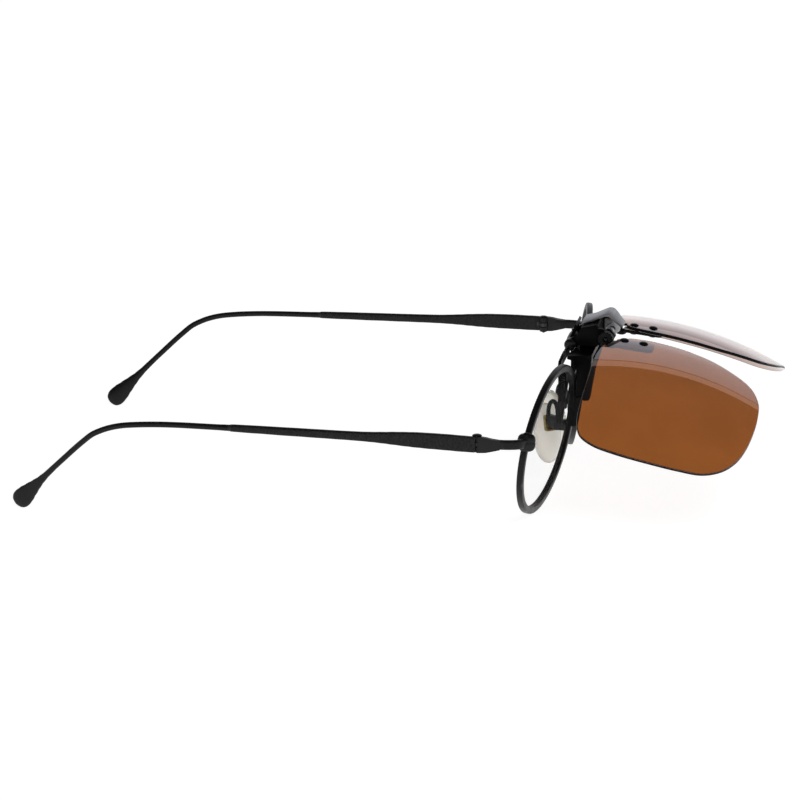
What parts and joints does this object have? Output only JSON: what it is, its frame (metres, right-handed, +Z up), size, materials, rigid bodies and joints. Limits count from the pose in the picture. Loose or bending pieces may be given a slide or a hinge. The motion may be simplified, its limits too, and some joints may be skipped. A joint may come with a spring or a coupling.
{
  "type": "clip-on sunglasses on spectacles",
  "caption": "Wire-rim spectacles with a spring-clamped flip-up clip-on: curved brown sun lenses on a cross axle, rubber-tipped jaws, folding temples and rocking nose pads.",
  "frame": {"origin": "centre of the plan outline on the surface that the spectacles stand on", "axes": "+Z up; the front faces -Y and the temples run back to +Y; +X is the wearer's left"},
  "size_m": [0.138, 0.2024, 0.0472],
  "materials": {
    "black_metal": "matte black coated metal",
    "dark_steel": "dark satin steel",
    "rubber": "matte",
    "brass": "aged satin",
    "pad_silicone": "translucent soft",
    "clear_plastic": "polished clear",
    "brown_lens": "polished tinted"
  },
  "bodies": {
    "spectacle_frame": {"right_rim": "black_metal", "left_rim": "black_metal", "bridge": "black_metal", "right_endpiece": "black_metal", "left_endpiece": "black_metal", "right_pad_arm": "black_metal", "left_pad_arm": "black_metal", "right_clear_lens": "clear_plastic", "left_clear_lens": "clear_plastic", "right_rim_lock_screw": "dark_steel", "left_rim_lock_screw": "dark_steel", "right_hinge_screw": "dark_steel", "left_hinge_screw": "dark_steel", "right_pad_box": "brass", "left_pad_box": "brass"},
    "right_temple_arm": {"right_temple": "black_metal", "right_temple_tip": "black_metal"},
    "left_temple_arm": {"left_temple": "black_metal", "left_temple_tip": "black_metal"},
    "right_pad": {"right_nose_pad": "pad_silicone"},
    "left_pad": {"left_nose_pad": "pad_silicone"},
    "clip_body": {"hinge_block": "black_metal", "front_jaw": "black_metal", "right_front_sleeve": "rubber", "left_front_sleeve": "rubber", "jaw_pin": "dark_steel", "jaw_spring": "dark_steel", "detent_leaf": "dark_steel"},
    "clip_rear_jaw": {"rear_jaw": "black_metal", "right_rear_sleeve": "rubber", "left_rear_sleeve": "rubber"},
    "flip_lenses": {"flip_axle": "dark_steel", "right_cam": "dark_steel", "left_cam": "dark_steel", "right_lens_carrier": "dark_steel", "left_lens_carrier": "dark_steel", "right_sun_lens": "brown_lens", "left_sun_lens": "brown_lens", "right_rivet_1": "dark_steel", "right_rivet_2": "dark_steel", "left_rivet_1": "dark_steel", "left_rivet_2": "dark_steel"}
  },
  "joints": [
    {"name": "right_temple_fold", "type": "hinge", "parent": "spectacle_frame", "child": "right_temple_arm", "pos_m": [-0.0669, -0.02791, 0.02637], "axis": [0, 0, -1], "range_deg": [0, 89]},
    {"name": "left_temple_fold", "type": "hinge", "parent": "spectacle_frame", "child": "left_temple_arm", "pos_m": [0.0669, -0.02791, 0.02637], "axis": [0, 0, 1], "range_deg": [0, 85]},
    {"name": "clip_lift_off", "type": "slide", "parent": "spectacle_frame", "child": "clip_body", "axis": [0, -0.1471, 0.9891], "range_m": [0, 0.03]},
    {"name": "jaw_squeeze", "type": "hinge", "parent": "clip_body", "child": "clip_rear_jaw", "pos_m": [0, -0.04505, 0.03914], "axis": [1, 0, 0], "range_deg": [0, 10], "stiffness_Nm_per_rad": 0.02, "springref_deg": -20.05},
    {"name": "lens_flip", "type": "hinge", "parent": "clip_body", "child": "flip_lenses", "pos_m": [0, -0.05535, 0.04134], "axis": [0.9992, -0.0412, 0], "range_deg": [0, 48]},
    {"name": "right_pad_rock", "type": "hinge", "parent": "spectacle_frame", "child": "right_pad", "pos_m": [-0.00949, -0.03953, 0.01719], "axis": [-0.55, 0.8352, 0], "range_deg": [-5, 5]},
    {"name": "left_pad_rock", "type": "hinge", "parent": "spectacle_frame", "child": "left_pad", "pos_m": [0.00949, -0.03953, 0.01719], "axis": [-0.55, -0.8352, 0], "range_deg": [-5, 5]}
  ]
}
